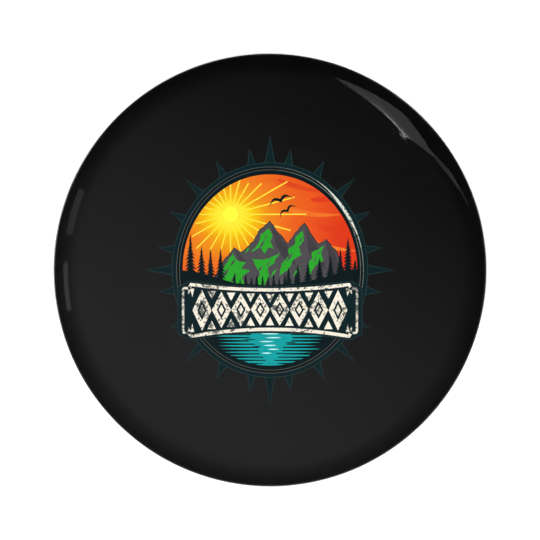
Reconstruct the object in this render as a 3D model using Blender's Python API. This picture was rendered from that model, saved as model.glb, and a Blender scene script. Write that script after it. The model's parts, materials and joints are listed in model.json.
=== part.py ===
"""Pin-back button badge, 57 mm across: a printed sheet under clear film on a domed tin shell, with a back
plate crimped inside its rim and a safety pin behind.

Metres, +Z up. The face looks towards -Y, with the artwork upright. The origin is on the button's axis, in the
plane where the rim's rear land meets the cloth, so everything with y > 0 stands behind the rim.
"""

import math

import bmesh
import bpy
from mathutils import Vector

MM = 0.001

# Outer surface of the face, from the middle of the dome round the shoulder to the curl behind it
BUTTON_RADIUS = 28.6 * MM
DOME_RADIUS = 150.0 * MM
CROWN_RADIUS = 6.0 * MM
EDGE_RADIUS = 1.6 * MM
SPLIT_ANGLE = math.radians(45)  # heading at which the crown arc hands over to the edge arc
BEAD_RADIUS = 1.15 * MM
REAR_LAND = 0.7 * MM
CURL_RADIUS = 0.9 * MM
CURL_TAIL = 0.15 * MM

# Layers, from the outside in
FILM = 0.06 * MM
PAPER = 0.13 * MM
TINPLATE = 0.25 * MM
LAYER_GAP = 0.03 * MM

# Back plate
PLATE = 0.30 * MM
PLATE_Y = -1.15 * MM  # rear face of the plate, recessed behind the rim's rear land
PLATE_PAD = 3.0 * MM
RIB_RADIUS = 23.1 * MM
RIB_WIDTH = 1.9 * MM
RIB_DEPTH = 0.35 * MM
FLANGE_RADIUS = 27.2 * MM
FLANGE_BEND = 0.25 * MM
FLANGE_FRONT_Y = -2.28 * MM

# Safety pin, one spring wire: fixed leg, coil, needle
WIRE_RADIUS = 0.4 * MM
WIRE_GAP = 0.05 * MM
COIL_RADIUS = 1.6 * MM
COIL_PITCH = 0.95 * MM
COIL_X = -17.5 * MM
NEEDLE_Z = 5.5 * MM
COIL_Z = NEEDLE_Z + COIL_RADIUS
LEG_SLOPE = math.radians(10)
LEG_LENGTH = 25.0 * MM
TOE_LENGTH = 2.2 * MM
TOE_BEND = 0.9 * MM
LEG_Y = PLATE_Y + WIRE_GAP + WIRE_RADIUS
COIL_START = math.pi / 2 + LEG_SLOPE
COIL_END = 2 * math.pi + 3 * math.pi / 2
COIL_SEAM = (COIL_START + COIL_END) / 2
SEAM_HALF_GAP = math.radians(1.5)
NEEDLE_Y = LEG_Y + COIL_PITCH * (COIL_END - COIL_START) / (2 * math.pi)
NEEDLE_TIP_X = 17.6 * MM
POINT_LENGTH = 4.0 * MM
POINT_RADIUS = 0.05 * MM

# Straps lanced from the plate over the fixed leg, at these distances along it
STRAP_AT = (5.5 * MM, 19.5 * MM)
STRAP_LENGTH = 2.2 * MM
STRAP_CLEAR = 0.35 * MM  # room beside the wire
STRAP_BEND = 0.25 * MM
STRIP = 0.24 * MM  # lanced metal, a little thinner than the plate after stretching
SLIT = 0.12 * MM

# Catch lanced from the plate: a hook over the needle, with its mouth upwards
CATCH_X = 14.6 * MM
CATCH_WIDTH = 3.2 * MM
CATCH_ROOF = 0.55 * MM  # past the needle's middle
CATCH_LIP = 0.55 * MM
CATCH_LIP_RISE = 0.3 * MM
CATCH_BEND = 0.3 * MM
TONGUE = 4.6 * MM

# How finely round shapes are cut into flats
SEGMENTS = 48
WIRE_BEVEL = 3  # ten sides round a wire
COIL_STEP = math.radians(15)
TOE_STEPS = 6
SHARP_ANGLE = math.radians(35)
WELD = 0.001 * MM


def clear_scene():
    for obj in list(bpy.data.objects):
        bpy.data.objects.remove(obj, do_unlink=True)


def material(name, colour, metallic, roughness):
    made = bpy.data.materials.new(name)
    made.use_nodes = True
    shader = made.node_tree.nodes["Principled BSDF"]
    shader.inputs["Base Color"].default_value = (*colour, 1)
    shader.inputs["Metallic"].default_value = metallic
    shader.inputs["Roughness"].default_value = roughness
    return made


def link(name, data, surface, location=(0, 0, 0), slope=0.0):
    """Adds the object, turned by its slope from +X towards +Z."""
    data.materials.append(surface)
    obj = bpy.data.objects.new(name, data)
    obj.location = location
    obj.rotation_euler = (0, -slope, 0)
    bpy.context.collection.objects.link(obj)
    return obj


def smooth_mesh(name, drawn):
    """A mesh from a bmesh, smooth over its round stretches and sharp at its edges."""
    bmesh.ops.recalc_face_normals(drawn, faces=drawn.faces)
    mesh = bpy.data.meshes.new(name)
    drawn.to_mesh(mesh)
    drawn.free()
    mesh.shade_smooth()
    mesh.set_sharp_from_angle(angle=SHARP_ANGLE)
    return mesh


def arc(centre, radius, start, end, steps):
    """Points (r, y) from one heading to the next. Heading 0 runs outwards, and a quarter turn runs rearwards."""
    headings = [start + (end - start) * i / steps for i in range(steps + 1)]
    return [(centre[0] + radius * math.sin(h), centre[1] - radius * math.cos(h)) for h in headings]


def shell_profile(inset):
    """The line of one layer's surface, at a depth below the outermost one, from the axis to the curl's tail.

    It runs along the dome, the crown, the outer edge, the bead and the curl, arcs that meet smoothly.
    """
    quarter = math.pi / 2
    spread = CROWN_RADIUS * math.sin(SPLIT_ANGLE) + EDGE_RADIUS * (1 - math.sin(SPLIT_ANGLE))
    dome_edge = (BUTTON_RADIUS - spread) / (1 - CROWN_RADIUS / DOME_RADIUS)
    dome_angle = math.asin(dome_edge / DOME_RADIUS)
    bead = (BUTTON_RADIUS - BEAD_RADIUS, -BEAD_RADIUS)
    edge = (BUTTON_RADIUS - EDGE_RADIUS, -BEAD_RADIUS)
    reach = CROWN_RADIUS - EDGE_RADIUS
    crown = (edge[0] - reach * math.sin(SPLIT_ANGLE), edge[1] + reach * math.cos(SPLIT_ANGLE))
    dome = (0.0, crown[1] + (DOME_RADIUS - CROWN_RADIUS) * math.cos(dome_angle))
    curl = (bead[0] - REAR_LAND, -CURL_RADIUS)
    line = arc(dome, DOME_RADIUS - inset, 0.0, dome_angle, 4)
    line += arc(crown, CROWN_RADIUS - inset, dome_angle, SPLIT_ANGLE, 3)[1:]
    line += arc(edge, EDGE_RADIUS - inset, SPLIT_ANGLE, quarter, 2)[1:]
    line += arc(bead, BEAD_RADIUS - inset, quarter, 2 * quarter, 3)[1:]
    line += arc(curl, CURL_RADIUS - inset, 2 * quarter, 3 * quarter, 3)
    line.append((line[-1][0], line[-1][1] - CURL_TAIL))
    return line


def turned(name, outline):
    """A body of revolution about the Y axis. The outline of (r, y) points starts and ends on the axis."""
    drawn = bmesh.new()
    verts = [drawn.verts.new((radius, y, 0)) for radius, y in outline]
    edges = [drawn.edges.new(pair) for pair in zip(verts, verts[1:])]
    bmesh.ops.spin(
        drawn,
        geom=verts + edges,
        cent=(0, 0, 0),
        axis=(0, 1, 0),
        angle=2 * math.pi,
        steps=SEGMENTS,
        use_merge=True,
    )
    bmesh.ops.remove_doubles(drawn, verts=drawn.verts, dist=WELD)
    return smooth_mesh(name, drawn)


def add_layer(name, depth, thickness, surface):
    outline = shell_profile(depth) + shell_profile(depth + thickness)[::-1]
    return link(name, turned(name, outline), surface)


def plate_outline():
    """The plate's rear line outwards and its front line back: flat middle, stiffening rib, flange."""
    rib_in = RIB_RADIUS - RIB_WIDTH / 2
    rib_out = RIB_RADIUS + RIB_WIDTH / 2
    floor = 0.25 * RIB_WIDTH
    rib_y = PLATE_Y - RIB_DEPTH
    rear = [
        (0.0, PLATE_Y),
        (PLATE_PAD, PLATE_Y),
        (rib_in, PLATE_Y),
        (rib_in + floor, rib_y),
        (rib_out - floor, rib_y),
        (rib_out, PLATE_Y),
        (FLANGE_RADIUS - FLANGE_BEND, PLATE_Y),
        (FLANGE_RADIUS, PLATE_Y - FLANGE_BEND),
        (FLANGE_RADIUS, FLANGE_FRONT_Y),
    ]
    front = [
        (FLANGE_RADIUS - PLATE, FLANGE_FRONT_Y),
        (FLANGE_RADIUS - PLATE, PLATE_Y - PLATE),
        (rib_out, PLATE_Y - PLATE),
        (rib_out - floor, rib_y - PLATE),
        (rib_in + floor, rib_y - PLATE),
        (rib_in, PLATE_Y - PLATE),
        (0.0, PLATE_Y - PLATE),
    ]
    return rear + front


def prism(name, outline, length):
    """A body with an outline of (across, y) points, reaching half its length each way along X."""
    drawn = bmesh.new()
    end = drawn.faces.new([drawn.verts.new((-length / 2, y, across)) for across, y in outline])
    pulled = bmesh.ops.extrude_face_region(drawn, geom=[end])["geom"]
    verts = [part for part in pulled if isinstance(part, bmesh.types.BMVert)]
    bmesh.ops.translate(drawn, verts=verts, vec=(length, 0, 0))
    return smooth_mesh(name, drawn)


def leg_point(distance):
    """Place (x, z) on the fixed leg, at a distance from the coil."""
    start_x = COIL_X + COIL_RADIUS * math.cos(COIL_START)
    start_z = COIL_Z + COIL_RADIUS * math.sin(COIL_START)
    return start_x + distance * math.cos(LEG_SLOPE), start_z + distance * math.sin(LEG_SLOPE)


def strap_outline():
    """Arch over the fixed leg, with both feet buried in the plate."""
    inner = WIRE_RADIUS + STRAP_CLEAR
    outer = inner + STRIP
    roof = LEG_Y + WIRE_RADIUS + WIRE_GAP
    foot = PLATE_Y - PLATE / 2
    left = [
        (-outer, foot),
        (-outer, roof + STRIP - STRAP_BEND),
        (-outer + STRAP_BEND, roof + STRIP),
    ]
    right = [(-across, y) for across, y in reversed(left)]
    inside = [
        (inner, foot),
        (inner, roof - STRAP_BEND / 2),
        (inner - STRAP_BEND / 2, roof),
        (-inner + STRAP_BEND / 2, roof),
        (-inner, roof - STRAP_BEND / 2),
        (-inner, foot),
    ]
    return left + right + inside


def catch_outline():
    """Hook round the needle, seen along it: upright below, roof behind, lip flared away at the mouth."""
    upright = -WIRE_RADIUS - WIRE_GAP
    roof = NEEDLE_Y + WIRE_RADIUS + WIRE_GAP
    foot = PLATE_Y - PLATE / 2
    inside = [
        (upright, foot),
        (upright, roof - CATCH_BEND / 2),
        (upright + CATCH_BEND / 2, roof),
        (CATCH_ROOF, roof),
        (CATCH_ROOF + CATCH_LIP, roof + CATCH_LIP_RISE),
    ]
    outside = [
        (CATCH_ROOF + CATCH_LIP - STRIP / 2, roof + CATCH_LIP_RISE + STRIP),
        (CATCH_ROOF - STRIP / 3, roof + STRIP),
        (upright - STRIP + CATCH_BEND, roof + STRIP),
        (upright - STRIP, roof + STRIP - CATCH_BEND),
        (upright - STRIP, foot),
    ]
    return inside + outside


def window(name, x_size, z_from, z_to):
    """Cutter through the plate."""
    reach = 3 * PLATE
    front, rear = PLATE_Y - reach, PLATE_Y + reach
    return prism(name, [(z_from, front), (z_to, front), (z_to, rear), (z_from, rear)], x_size)


def apply_boolean(target, other, operation):
    change = target.modifiers.new(operation.lower(), "BOOLEAN")
    change.operation = operation
    change.solver = "EXACT"
    change.object = other
    other.hide_render = True
    other.display_type = "WIRE"


def lance(plate, name, cut, form, location, slope):
    """Cuts a window through the plate and joins the metal that was bent up out of it."""
    surface = plate.data.materials[0]
    apply_boolean(plate, link(name + "_window", cut, surface, location, slope), "DIFFERENCE")
    apply_boolean(plate, link(name + "_form", form, surface, location, slope), "UNION")


def add_back_plate(surface):
    plate = link("back_plate", turned("back_plate", plate_outline()), surface)
    half = WIRE_RADIUS + STRAP_CLEAR + STRIP / 2
    for number, distance in enumerate(STRAP_AT):
        x, z = leg_point(distance)
        cut = window("strap_cut", STRAP_LENGTH + 2 * SLIT, -half, half)
        strap = prism("strap", strap_outline(), STRAP_LENGTH)
        lance(plate, f"strap_{number}", cut, strap, (x, 0, z), LEG_SLOPE)
    root = -WIRE_RADIUS - WIRE_GAP - STRIP / 2
    cut = window("catch_cut", CATCH_WIDTH + 2 * SLIT, root, root + TONGUE)
    hook = prism("catch", catch_outline(), CATCH_WIDTH)
    lance(plate, "catch", cut, hook, (CATCH_X, 0, NEEDLE_Z), 0.0)
    return plate


def coil_points(start, end):
    """The helix from one angle to another, turning from +X towards +Z, one pitch further back each turn."""
    steps = math.ceil((end - start) / COIL_STEP)
    points = []
    for i in range(steps + 1):
        angle = start + (end - start) * i / steps
        y = LEG_Y + COIL_PITCH * (angle - COIL_START) / (2 * math.pi)
        points.append((COIL_X + COIL_RADIUS * math.cos(angle), y, COIL_Z + COIL_RADIUS * math.sin(angle)))
    return points


def leg_points():
    """From the toe, which is turned down square to the leg, round its bend to the straight stretch."""
    bend_x, bend_z = leg_point(LEG_LENGTH)
    along = Vector((math.cos(LEG_SLOPE), 0, math.sin(LEG_SLOPE)))
    down = Vector((math.sin(LEG_SLOPE), 0, -math.cos(LEG_SLOPE)))
    centre = Vector((bend_x, LEG_Y, bend_z)) + TOE_BEND * (down - along)
    points = [centre + TOE_BEND * along + TOE_LENGTH * down]
    for i in range(TOE_STEPS + 1):
        turn = math.pi / 2 * i / TOE_STEPS
        points.append(centre + TOE_BEND * (math.cos(turn) * along - math.sin(turn) * down))
    return points


def add_wire(name, points, surface, origin, tip_share=1.0):
    """A round wire through the points, with flat ends. tip_share is its thickness at the last point."""
    curve = bpy.data.curves.new(name, "CURVE")
    curve.dimensions = "3D"
    curve.bevel_depth = WIRE_RADIUS
    curve.bevel_resolution = WIRE_BEVEL
    curve.use_fill_caps = True
    spline = curve.splines.new("POLY")
    spline.points.add(len(points) - 1)
    for spot, point in zip(spline.points, points):
        spot.co = (*(Vector(point) - Vector(origin)), 1)
    spline.points[-1].radius = tip_share
    return link(name, curve, surface, origin)


def add_pin_leg(surface):
    points = leg_points() + coil_points(COIL_START, COIL_SEAM - SEAM_HALF_GAP)
    return add_wire("pin_leg", points, surface, (COIL_X, LEG_Y, COIL_Z))


def add_pin_needle(surface):
    points = coil_points(COIL_SEAM + SEAM_HALF_GAP, COIL_END)
    points.append((NEEDLE_TIP_X - POINT_LENGTH, NEEDLE_Y, NEEDLE_Z))
    points.append((NEEDLE_TIP_X, NEEDLE_Y, NEEDLE_Z))
    return add_wire("pin_needle", points, surface, (COIL_X, NEEDLE_Y, COIL_Z), POINT_RADIUS / WIRE_RADIUS)


def main():
    clear_scene()
    clear = material("clear_film", (0.9, 0.9, 0.9), 0.0, 0.05)
    ink = material("printed_paper", (0.02, 0.02, 0.022), 0.0, 0.6)
    tin = material("tinplate", (0.72, 0.72, 0.7), 1.0, 0.3)
    bright = material("plated_tin", (0.78, 0.78, 0.77), 1.0, 0.25)
    spring = material("spring_wire", (0.66, 0.66, 0.66), 1.0, 0.2)
    paper_depth = FILM + LAYER_GAP
    shell_depth = paper_depth + PAPER + LAYER_GAP
    add_layer("clear_film", 0.0, FILM, clear)
    add_layer("printed_sheet", paper_depth, PAPER, ink)
    add_layer("front_shell", shell_depth, TINPLATE, tin)
    add_back_plate(bright)
    add_pin_leg(spring)
    add_pin_needle(spring)


main()
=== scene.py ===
import json
import math
import random

import bmesh
import bpy
from mathutils import Matrix, Vector
from mathutils.geometry import delaunay_2d_cdt


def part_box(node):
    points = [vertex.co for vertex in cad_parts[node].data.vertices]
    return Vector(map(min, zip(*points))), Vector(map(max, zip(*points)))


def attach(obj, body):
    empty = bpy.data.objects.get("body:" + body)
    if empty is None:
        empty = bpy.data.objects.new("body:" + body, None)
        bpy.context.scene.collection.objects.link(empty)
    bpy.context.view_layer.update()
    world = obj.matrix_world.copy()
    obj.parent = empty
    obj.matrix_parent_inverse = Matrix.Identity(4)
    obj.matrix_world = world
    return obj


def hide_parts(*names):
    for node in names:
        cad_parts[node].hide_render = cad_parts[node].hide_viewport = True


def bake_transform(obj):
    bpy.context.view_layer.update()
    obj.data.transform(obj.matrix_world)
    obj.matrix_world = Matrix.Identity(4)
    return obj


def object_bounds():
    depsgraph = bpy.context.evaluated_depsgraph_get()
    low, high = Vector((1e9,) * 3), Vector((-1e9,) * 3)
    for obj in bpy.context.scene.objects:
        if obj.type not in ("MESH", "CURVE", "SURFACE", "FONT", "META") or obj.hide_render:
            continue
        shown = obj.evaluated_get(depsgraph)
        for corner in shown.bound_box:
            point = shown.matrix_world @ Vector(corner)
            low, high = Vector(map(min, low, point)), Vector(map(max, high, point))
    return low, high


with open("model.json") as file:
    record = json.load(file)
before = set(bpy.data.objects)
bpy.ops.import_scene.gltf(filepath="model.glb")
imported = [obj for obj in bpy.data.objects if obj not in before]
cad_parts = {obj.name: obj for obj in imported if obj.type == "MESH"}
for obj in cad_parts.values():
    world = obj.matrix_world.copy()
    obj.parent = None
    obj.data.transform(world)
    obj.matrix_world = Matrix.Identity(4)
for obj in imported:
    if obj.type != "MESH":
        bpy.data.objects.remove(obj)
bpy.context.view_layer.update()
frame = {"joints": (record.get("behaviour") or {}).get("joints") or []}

MM = 0.001
TURN = 2 * math.pi
QUARTER = math.pi / 2

# Sizes of the button, repeated from the CAD model. Its radius, its hinge's place and the needle's tip are
# read from the frame. y is 0 where the rim meets the cloth, and negative towards the printed face.
CROWN_RADIUS = 6.0 * MM
DOME_RADIUS = 150.0 * MM
EDGE_RADIUS = 1.6 * MM
SPLIT_ANGLE = math.radians(45)
BEAD_RADIUS = 1.15 * MM
REAR_LAND = 0.7 * MM
CURL_RADIUS = 0.9 * MM
CURL_TAIL = 0.15 * MM
FILM = 0.06 * MM
PAPER = 0.13 * MM
TINPLATE = 0.25 * MM
LAYER_GAP = 0.03 * MM
BUTTON_RADIUS = (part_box("clear_film")[1].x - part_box("clear_film")[0].x) / 2

PLATE = 0.30 * MM
PLATE_Y = -1.15 * MM
PLATE_PAD = 3.0 * MM
RIB_RADIUS = 23.1 * MM
RIB_WIDTH = 1.9 * MM
RIB_DEPTH = 0.35 * MM
FLANGE_RADIUS = 27.2 * MM
FLANGE_BEND = 0.25 * MM
FLANGE_FRONT_Y = -2.28 * MM
STRIP = 0.24 * MM
STRIP_BEND = 0.42 * MM
SLIT = 0.12 * MM
STRAP_AT = (5.5 * MM, 19.5 * MM)
STRAP_LENGTH = 2.2 * MM
STRAP_CLEAR = 0.35 * MM
CATCH_X = 14.6 * MM
CATCH_WIDTH = 3.2 * MM
CATCH_ROOF = 0.55 * MM
CATCH_LIP = 0.55 * MM
CATCH_LIP_RISE = 0.3 * MM
TONGUE = 4.6 * MM

WIRE_RADIUS = 0.4 * MM
WIRE_GAP = 0.05 * MM
STRAP_HALF = WIRE_RADIUS + STRAP_CLEAR + STRIP / 2
CATCH_ROOT = -WIRE_RADIUS - WIRE_GAP - STRIP / 2
COIL_RADIUS = 1.6 * MM
COIL_PITCH = 0.95 * MM
COIL_X, _, COIL_Z = frame["joints"][0]["pos_m"]
NEEDLE_Z = COIL_Z - COIL_RADIUS
NEEDLE_TIP_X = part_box("pin_needle")[1].x
LEG_SLOPE = math.radians(10)
LEG_LENGTH = 25.0 * MM
LEG_Y = PLATE_Y + WIRE_GAP + WIRE_RADIUS
TOE_LENGTH = 2.2 * MM
TOE_BEND = 0.9 * MM
COIL_START = QUARTER + LEG_SLOPE
COIL_END = TURN + 3 * QUARTER
NEEDLE_Y = LEG_Y + COIL_PITCH * (COIL_END - COIL_START) / TURN
POINT_LENGTH = 4.0 * MM

# How the meshes are made
SEGMENTS = 192
WELD = 0.001 * MM
EDGE_BEVEL = 0.03 * MM
WIRE_SIDES = 20
SHARP_ANGLE = math.radians(38)
FLAT_FACING = 0.9999
ART_RADIUS = 20.0 * MM
LATTICE_RINGS = 14

# Layout of the printed medallion, in millimetres from the middle of the face: u to the right, v up.
# RING and SKY are the half width and half height of ellipses.
RING = (12.6, 13.85)
SKY = (11.3, 12.38)
SUN = (-5.1, 7.2)
MOUNTAIN_FOOT = -3.1
BANNER_HALF = 10.4
BANNER_MIDDLE = -5.3
BANNER_TOP, BANNER_SAG = -1.85, 0.72
BANNER_FOOT, BANNER_LIFT = -8.62, 0.95

# Print. Noise scales are per metre. Hex colours are sRGB, and triples are linear.
INK_GRAIN = 1500
PAPER_TOOTH = 5200
# The charcoal's dark and pale ends are painted shade and painted light, for a gradient across the face.
CHARCOAL_PAINTED_SHADE = (0.0016, 0.0016, 0.0016)
CHARCOAL_PAINTED_LIGHT = (0.0138, 0.0138, 0.0139)
# Painted shade at the rim, where the sheet turns the edge.
CHARCOAL_RIM_PAINTED_SHADE = (0.0012, 0.0012, 0.0012)
CHARCOAL_SPECK = (0.02, 0.02, 0.02)
SKY_REACH = 15.5 * MM
SKY_STOPS = [(0.0, "FFF032"), (0.07, "F8D918"), (0.13, "F2BB0C"), (0.21, "EE9E10"), (0.29, "ED8A18")]
SKY_STOPS += [(0.38, "EC791C"), (0.52, "E8641C"), (0.74, "E4501B"), (1.0, "DA3A16")]
UNDER_WORN = "0A2429"
ROLLING_LINES = (250, 6000, 6000)
DRAWING_LINES = (300, 5000, 5000)

# Studio, in metres: x to the right, y away from the camera, z up
SOFTBOX_CORNER = Vector((0.253, -0.72, 0.255))
SOFTBOX_TOP = Vector((0.187, -0.357, 0.575))
SOFTBOX_SIDE = Vector((0.79, -0.87, 0.545))
SOFTBOX_WIDTH = 0.66
WING_DISTANCE = 0.75
FLOOR_REACH = 1.2
LENS_MM, SENSOR_MM = 120.0, 36.0
FACE_SHARE = 0.8037


# ---- materials

def new_material(name):
    made = bpy.data.materials.new(name)
    made.use_nodes = True
    tree = made.node_tree
    tree.nodes.clear()
    return made, tree


def node(tree, kind, inputs=None, **settings):
    """A new node with its settings, and with its inputs linked to sockets or set to plain values."""
    made = tree.nodes.new(kind)
    for key, value in settings.items():
        setattr(made, key, value)
    for key, value in (inputs or {}).items():
        if isinstance(value, bpy.types.NodeSocket):
            tree.links.new(value, made.inputs[key])
        else:
            made.inputs[key].default_value = value
    return made


def object_space(tree):
    return node(tree, "ShaderNodeTexCoord").outputs["Object"]


def place(tree, scale=(1, 1, 1), turn=(0, 0, 0)):
    """Object coordinates, stretched and turned."""
    inputs = {"Vector": object_space(tree), "Scale": scale, "Rotation": turn}
    return node(tree, "ShaderNodeMapping", inputs).outputs["Vector"]


def maths(tree, operation, *values):
    return node(tree, "ShaderNodeMath", dict(enumerate(values)), operation=operation).outputs["Value"]


def vector_maths(tree, operation, vector, constant=(0, 0, 0), result="Value"):
    made = node(tree, "ShaderNodeVectorMath", {0: vector, 1: constant}, operation=operation)
    return made.outputs[result]


def noise(tree, vector, scale, detail=3.0, rough=0.5):
    inputs = {"Vector": vector, "Scale": scale, "Detail": detail, "Roughness": rough}
    return node(tree, "ShaderNodeTexNoise", inputs).outputs["Fac"]


def remap(tree, value, low, high, to_low, to_high):
    inputs = {"Value": value, "From Min": low, "From Max": high, "To Min": to_low, "To Max": to_high}
    return node(tree, "ShaderNodeMapRange", inputs).outputs["Result"]


def mixed(tree, factor, first, second):
    """Two colours mixed by a factor. Inputs 6 and 7 and output 2 of a Mix node are its colours."""
    first, second = [(*c, 1) if isinstance(c, tuple) else c for c in (first, second)]
    return node(tree, "ShaderNodeMix", {0: factor, 6: first, 7: second}, data_type="RGBA").outputs[2]


def bump(tree, height, strength, distance):
    inputs = {"Height": height, "Strength": strength, "Distance": distance}
    return node(tree, "ShaderNodeBump", inputs).outputs["Normal"]


def principled(tree, colour, roughness, metallic=0.0, normal=None, specular=0.5):
    """Ends a material with one shader, and returns it."""
    inputs = {"Base Color": colour, "Roughness": roughness, "Metallic": metallic}
    inputs["Specular IOR Level"] = specular
    if normal is not None:
        inputs["Normal"] = normal
    shader = node(tree, "ShaderNodeBsdfPrincipled", inputs)
    node(tree, "ShaderNodeOutputMaterial", {"Surface": shader.outputs["BSDF"]})
    return shader


def mix_shaders(tree, factor, first, second, kind="ShaderNodeOutputMaterial"):
    """Ends a tree with two shaders, mixed by a factor."""
    mix = node(tree, "ShaderNodeMixShader", {0: factor, 1: first, 2: second})
    node(tree, kind, {"Surface": mix.outputs["Shader"]})


def srgb(text):
    """Linear colour from a six-digit hex code."""
    values = [int(text[i : i + 2], 16) / 255 for i in (0, 2, 4)]
    return tuple(v / 12.92 if v <= 0.04045 else ((v + 0.055) / 1.055) ** 2.4 for v in values)


def ink(name, code):
    """An even ink with a slightly paler grain."""
    made, tree = new_material("ink_" + name)
    grain = noise(tree, place(tree), INK_GRAIN, 3, 0.6)
    base = srgb(code)
    paler = tuple(min(1.0, c * 1.18 + 0.002) for c in base)
    paper_finish(tree, mixed(tree, grain, base, paler))
    return made


def paper_finish(tree, colour):
    """Ink on uncoated paper: dull, with a fine tooth."""
    fine = noise(tree, place(tree), PAPER_TOOTH, 4, 0.6)
    rough = remap(tree, fine, 0.3, 0.7, 0.5, 0.72)
    principled(tree, colour, rough, normal=bump(tree, fine, 0.2, 0.01 * MM), specular=0.06)


def ground_ink():
    """Charcoal print with painted light and shade: paler towards the lower left as painted light, and
    blackest where the sheet turns the edge as painted shade.
    """
    made, tree = new_material("ink_ground")
    slant = vector_maths(tree, "DOT_PRODUCT", object_space(tree), (-0.55, 0, -0.83))
    face = vector_maths(tree, "MULTIPLY", object_space(tree), (1, 0, 1), "Vector")
    reach = vector_maths(tree, "LENGTH", face)
    # Painted light: the charcoal pales towards the lower left.
    tone = remap(tree, slant, -24 * MM, 20 * MM, 0.0, 1.0)
    # Painted shade: the charcoal darkens towards black over the turned edge.
    edge = remap(tree, reach, 25.5 * MM, 28.4 * MM, 0.0, 0.8)
    speck = remap(tree, noise(tree, place(tree), INK_GRAIN, 3, 0.6), 0.3, 0.8, 0.0, 0.14)
    soft = mixed(tree, tone, CHARCOAL_PAINTED_SHADE, CHARCOAL_PAINTED_LIGHT)
    dark = mixed(tree, edge, soft, CHARCOAL_RIM_PAINTED_SHADE)
    paper_finish(tree, mixed(tree, speck, dark, CHARCOAL_SPECK))
    return made


def sky_colour(tree):
    """Sunset: yellow round the sun, through orange to red at the far side, in soft uneven washes."""
    face = vector_maths(tree, "MULTIPLY", object_space(tree), (1, 0, 1), "Vector")
    far = vector_maths(tree, "DISTANCE", face, (SUN[0] * MM, 0, SUN[1] * MM))
    warp = noise(tree, place(tree, (70, 70, 190), (0, 0.25, 0)), 1.0, 2, 0.45)
    spread = maths(tree, "MULTIPLY_ADD", remap(tree, warp, 0.35, 0.65, -1.0, 1.0), 1.3 * MM, far)
    ramp = node(tree, "ShaderNodeValToRGB", {"Fac": remap(tree, spread, 0.0, SKY_REACH, 0.0, 1.0)})
    stops = ramp.color_ramp.elements
    for position, code in SKY_STOPS[1:-1]:
        stops.new(position).color = (*srgb(code), 1)
    stops[0].color = (*srgb(SKY_STOPS[0][1]), 1)
    stops[-1].color = (*srgb(SKY_STOPS[-1][1]), 1)
    return ramp.outputs["Color"]


def sky_ink():
    made, tree = new_material("ink_sky")
    paper_finish(tree, sky_colour(tree))
    return made


def worn_ink(name, code, under, keep=0.84):
    """Ink that has flaked off in specks, showing the ground. The higher keep is, the less has gone."""
    made, tree = new_material("ink_" + name)
    specks = noise(tree, place(tree), 2600, 5, 0.65)
    patches = noise(tree, place(tree), 330, 2, 0.5)
    both = maths(tree, "MULTIPLY_ADD", patches, 0.55, specks)
    loss = remap(tree, both, keep, keep + 0.06, 0.0, 0.85)
    paper_finish(tree, mixed(tree, loss, srgb(code), srgb(under)))
    return made


def wash_ink(name, code):
    """A thin wash: its own colour where it is thick, the sky's where it thins out."""
    made, tree = new_material("ink_wash_" + name)
    cloudy = noise(tree, place(tree, (160, 160, 520), (0, 0.2, 0)), 1.0, 3, 0.5)
    thick = remap(tree, cloudy, 0.35, 0.65, 0.3, 0.9)
    paper_finish(tree, mixed(tree, thick, sky_colour(tree), srgb(code)))
    return made


def film_material():
    """Clear polyester film: a thin gloss over whatever lies beneath, with faint smears and hairlines."""
    made, tree = new_material("clear_film")
    smear = noise(tree, place(tree, (60, 60, 160), (0, 0.6, 0)), 1.0, 3, 0.55)
    hair = noise(tree, place(tree, (300, 300, 9000), (0, 0.9, 0)), 1.0, 2, 0.5)
    scratched = remap(tree, hair, 0.62, 0.75, 0.0, 1.0)
    rough = maths(tree, "MULTIPLY_ADD", scratched, 0.05, remap(tree, smear, 0.3, 0.75, 0.03, 0.08))
    fresnel = node(tree, "ShaderNodeFresnel", {"IOR": 1.55})
    side = node(tree, "ShaderNodeNewGeometry")
    outer = maths(tree, "SUBTRACT", 1.0, side.outputs["Backfacing"])
    share = maths(tree, "MULTIPLY", fresnel.outputs["Fac"], outer)
    gloss = node(tree, "ShaderNodeBsdfGlossy", {"Color": (1, 1, 1, 1), "Roughness": rough})
    clear = node(tree, "ShaderNodeBsdfTransparent")
    mix_shaders(tree, share, clear.outputs["BSDF"], gloss.outputs["BSDF"])
    return made


def metal(name, code, stain, rough_low, rough_high, grain, depth):
    """Tin-plated metal with rolling or drawing lines along X, a few dull patches and fine pits."""
    made, tree = new_material(name)
    lines = noise(tree, place(tree, grain), 1.0, 4, 0.6)
    patches = noise(tree, place(tree), 190, 3, 0.55)
    pits = noise(tree, place(tree), 3200, 3, 0.6)
    tone = mixed(tree, remap(tree, patches, 0.4, 0.85, 0.0, 0.3), srgb(code), srgb(stain))
    tone = mixed(tree, remap(tree, lines, 0.35, 0.65, 0.0, 0.25), tone, srgb(stain))
    both = maths(tree, "MULTIPLY_ADD", patches, 0.5, lines)
    rough = remap(tree, both, 0.5, 1.0, rough_low, rough_high)
    relief = maths(tree, "MULTIPLY_ADD", pits, 0.4, lines)
    principled(tree, tone, rough, metallic=1.0, normal=bump(tree, relief, 0.35, depth))
    return made


# ---- meshes

def add_object(name, made, materials):
    bmesh.ops.recalc_face_normals(made, faces=made.faces)
    mesh = bpy.data.meshes.new(name)
    made.to_mesh(mesh)
    made.free()
    for surface in materials:
        mesh.materials.append(surface)
    mesh.shade_smooth()
    mesh.set_sharp_from_angle(angle=SHARP_ANGLE)
    obj = bpy.data.objects.new(name, mesh)
    bpy.context.collection.objects.link(obj)
    return obj


def arc(centre, radius, start, end, steps):
    headings = [start + (end - start) * i / steps for i in range(steps + 1)]
    return [(centre[0] + radius * math.sin(h), centre[1] - radius * math.cos(h)) for h in headings]


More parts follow.
